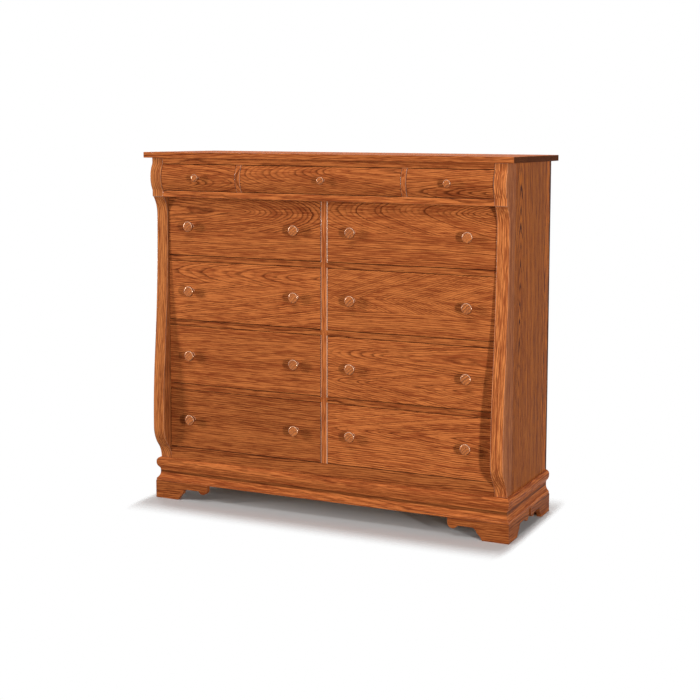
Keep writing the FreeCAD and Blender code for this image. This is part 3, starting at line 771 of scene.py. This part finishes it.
# Studio
# The floor fades out into the white background a little way from the chest.
floorUser = {
    "size": 8.0,
    "cuts": 3,
    "color": (0.62, 0.612, 0.608, 1.0),
    "roughness": 0.75,
    "roughSpread": 0.1,
    "specular": 0.1,
    "dust": 0.0002,
    "middle": (0.0, 0.02),  # the chest's footprint: its middle and half its width and depth
    "half": (0.74, 0.26),
    "stretch": (0.25, 1.0),  # the fade is quicker to the sides
    "fade": (0.02, 0.18),
}


def floor(user):
    bpy.ops.mesh.primitive_plane_add(size=user["size"])
    ground = bpy.context.object
    ground.name = "floor"
    openEdit(ground)
    bpy.ops.mesh.select_all(action="SELECT")
    bpy.ops.mesh.subdivide(number_cuts=user["cuts"])
    closeEdit()
    material = bpy.data.materials.new("floor")
    nodes = Nodes(material)
    coords = nodes.node("ShaderNodeTexCoord", output=3)
    away = []
    ways = zip(nodes.split(coords), user["middle"], user["half"], user["stretch"])
    for part, middle, half, stretch in ways:
        away.append(nodes.math("MAXIMUM", nodes.math("ABSOLUTE", part - middle) - half, 0.0) / stretch)
    reach = (away[0] * away[0] + away[1] * away[1]) ** 0.5
    dust = nodes.noise(coords, detail=3.0)
    nodes.finish({
        "Base Color": user["color"],
        "Roughness": user["roughness"] + dust * user["roughSpread"],
        "Specular IOR Level": user["specular"],
        "Alpha": 1.0 - nodes.smooth(reach, *user["fade"]),
    }, dust, user["dust"])
    ground.data.materials.append(material)


# The surroundings are seen, mirrored and looked through as white, and light the chest only faintly.
worldUser = {"seen": (1.0, 1.0, 1.0, 1.0), "light": (0.12, 0.121, 0.123, 1.0)}


def world(user):
    studio = bpy.data.worlds.new("studio")
    bpy.context.scene.world = studio
    nodes = Nodes(studio)
    path = nodes.node("ShaderNodeLightPath").socket.node.outputs
    direct = 0.0
    for kind in ("Is Camera Ray", "Is Glossy Ray", "Is Transmission Ray"):
        direct = nodes.math("MAXIMUM", Field(nodes, path[kind]), direct)
    seen = nodes.blend(direct, user["light"], user["seen"])
    nodes.feed(nodes.tree.nodes["Background"].inputs["Color"], seen)


# Two low lamps at the sides shade the drawers beside the posts, and the front lamp shades the first row.
lampUser = {
    "left": {"place": (-5.77, -3.42, 1.9), "size": (1.2, 2.6), "power": 300.0, "aim": (0.0, -0.2, 0.8)},
    "right": {"place": (5.41, -3.93, 1.25), "size": (0.40, 1.7), "power": 300.0, "aim": (0.0, -0.2, 0.8)},
    "front": {"place": (0.2, -2.4, 4.2), "size": (2.6, 1.4), "power": 62.0, "aim": (0.0, -0.2, 0.6)},
    "top": {"place": (0.1, 2.0, 3.6), "size": (2.4, 1.2), "power": 110.0, "aim": (0.0, 0.0, 0.0)},
    "back": {"place": (-4.4, 3.2, 1.8), "size": (2.0, 2.0), "power": 90.0, "aim": (0.0, 0.0, 0.7)},
}


def lamps(lampsUser):
    for name, user in lampsUser.items():
        data = bpy.data.lights.new(name, "AREA")
        data.shape = "RECTANGLE"
        data.size, data.size_y = user["size"]
        data.energy = user["power"]
        lamp = bpy.data.objects.new(name, data)
        bpy.context.collection.objects.link(lamp)
        lamp.location = user["place"]
        lamp.rotation_euler = (Vector(user["aim"]) - lamp.location).to_track_quat("-Z", "Y").to_euler()


# Angles in degrees, places on the picture in its pixels.
cameraUser = {
    "place": (2.2471, -4.5977, 1.4534),
    "yaw": 23.73,
    "tilt": 5.68,
    "roll": 0.33,
    "focalPixels": 1340.3,
    "centrePixels": (400.75, 265.0),
    "imagePixels": 700,
    "sensor": 36.0,  # millimetres, as the lens is
}


def camera(user):
    data = bpy.data.cameras.new("camera")
    viewer = bpy.data.objects.new("camera", data)
    bpy.context.collection.objects.link(viewer)
    bpy.context.scene.camera = viewer
    pixels = user["imagePixels"]
    data.sensor_width = user["sensor"]
    data.lens = user["focalPixels"] / pixels * data.sensor_width
    data.shift_x = (pixels / 2 - user["centrePixels"][0]) / pixels
    data.shift_y = (user["centrePixels"][1] - pixels / 2) / pixels
    turn = Matrix.Rotation(math.radians(user["yaw"]), 4, "Z")
    tilt = Matrix.Rotation(math.radians(90.0 - user["tilt"]), 4, "X")
    roll = Matrix.Rotation(math.radians(user["roll"]), 4, "Z")
    viewer.matrix_world = Matrix.Translation(user["place"]) @ turn @ tilt @ roll


floor(floorUser)
world(worldUser)
lamps(lampUser)
camera(cameraUser)
bpy.context.scene.view_settings.view_transform = "Standard"
print("studio set up")
